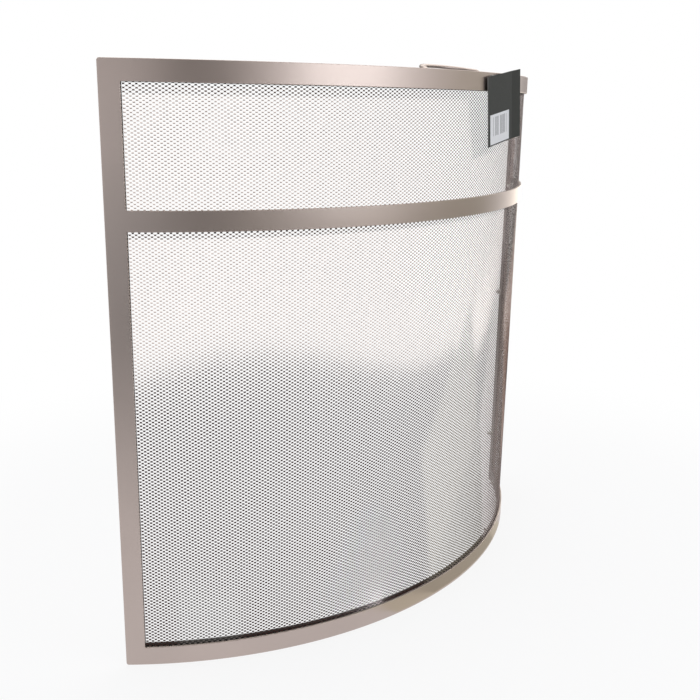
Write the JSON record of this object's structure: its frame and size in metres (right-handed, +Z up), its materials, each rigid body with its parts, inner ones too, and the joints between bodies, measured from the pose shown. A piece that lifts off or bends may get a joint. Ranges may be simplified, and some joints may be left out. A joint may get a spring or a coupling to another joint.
{
  "type": "fireplace screen",
  "caption": "Bowed free-standing fireplace screen: a satin flat-bar frame with a middle rail, a fine expanded-metal mesh behind it, and a rod lifting handle at the top.",
  "frame": {"origin": "on the floor, under the middle of the overall box", "axes": "+Z up, -Y towards the room (the bow's front), +X to the right as seen from the room"},
  "size_m": [0.6956, 0.1542, 0.6164],
  "materials": {
    "frame_metal": "satin pewter plating",
    "handle_metal": "satin pewter plating",
    "mesh_metal": "plain steel, a little darkened",
    "strip_black": "matt black paint",
    "zinc_steel": "zinc plated",
    "card_dark": "coated board",
    "label_pale": "uncoated paper",
    "pad_foam": "adhesive foam"
  },
  "bodies": {
    "root": {"top_rail": "frame_metal", "middle_rail": "frame_metal", "bottom_rail": "frame_metal", "left_stile": "frame_metal", "right_stile": "frame_metal", "handle_loop": "handle_metal", "mesh_panel": "mesh_metal", "top_mesh_strip": "strip_black", "middle_mesh_strip": "strip_black", "bottom_mesh_strip": "strip_black", "left_mesh_strip": "strip_black", "right_mesh_strip": "strip_black", "top_studs": "zinc_steel", "middle_studs": "zinc_steel", "bottom_studs": "zinc_steel", "left_studs": "zinc_steel", "right_studs": "zinc_steel", "top_washers": "zinc_steel", "middle_washers": "zinc_steel", "bottom_washers": "zinc_steel", "left_washers": "zinc_steel", "right_washers": "zinc_steel", "top_nuts": "zinc_steel", "middle_nuts": "zinc_steel", "bottom_nuts": "zinc_steel", "left_nuts": "zinc_steel", "right_nuts": "zinc_steel", "tag_card": "card_dark", "tag_label": "label_pale", "tag_pad": "pad_foam"}
  },
  "joints": []
}
